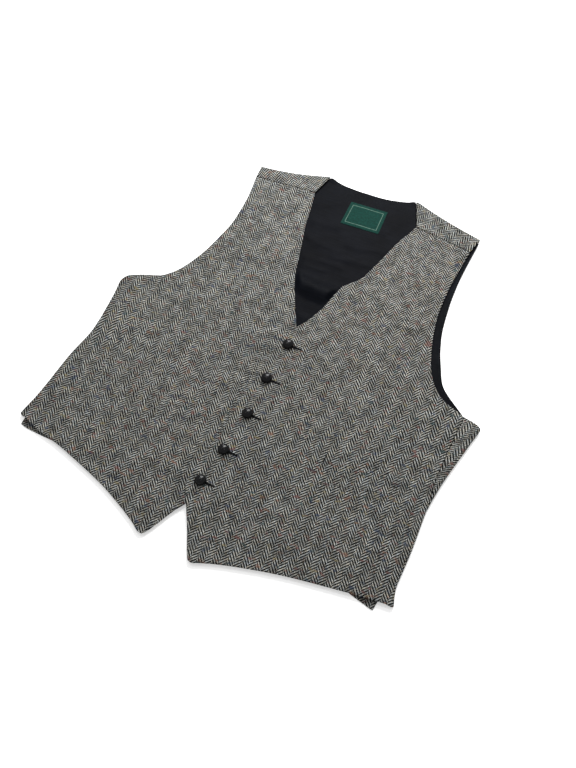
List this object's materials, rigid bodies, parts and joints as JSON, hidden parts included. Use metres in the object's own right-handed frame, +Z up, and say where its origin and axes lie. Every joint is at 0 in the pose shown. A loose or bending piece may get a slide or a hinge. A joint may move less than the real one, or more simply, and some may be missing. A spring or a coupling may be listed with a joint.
{
  "type": "waistcoat",
  "caption": "Tweed waistcoat with a V neck, domed buttons, welt pockets and cut-away front points, laid flat on its back.",
  "frame": {"origin": "on the surface the waistcoat lies on, under the middle of its bounding box", "axes": "+Y up the garment to the neck, +X to the wearer's left side, +Z up out of the front"},
  "size_m": [0.5406, 0.629, 0.0183],
  "materials": {
    "tweed": "grey herringbone wool tweed with coloured flecks",
    "lining": "blue-black lining with a slight sheen",
    "label": "plain woven label with a pale border",
    "leather": "dark plaited leather, softly polished"
  },
  "bodies": {
    "root": {"back": "tweed", "back_lining": "lining", "right_front": "tweed", "left_front": "tweed", "right_welt": "tweed", "left_welt": "tweed", "neck_label": "label", "button_1": "leather", "button_2": "leather", "button_3": "leather", "button_4": "leather", "button_5": "leather"}
  },
  "joints": []
}
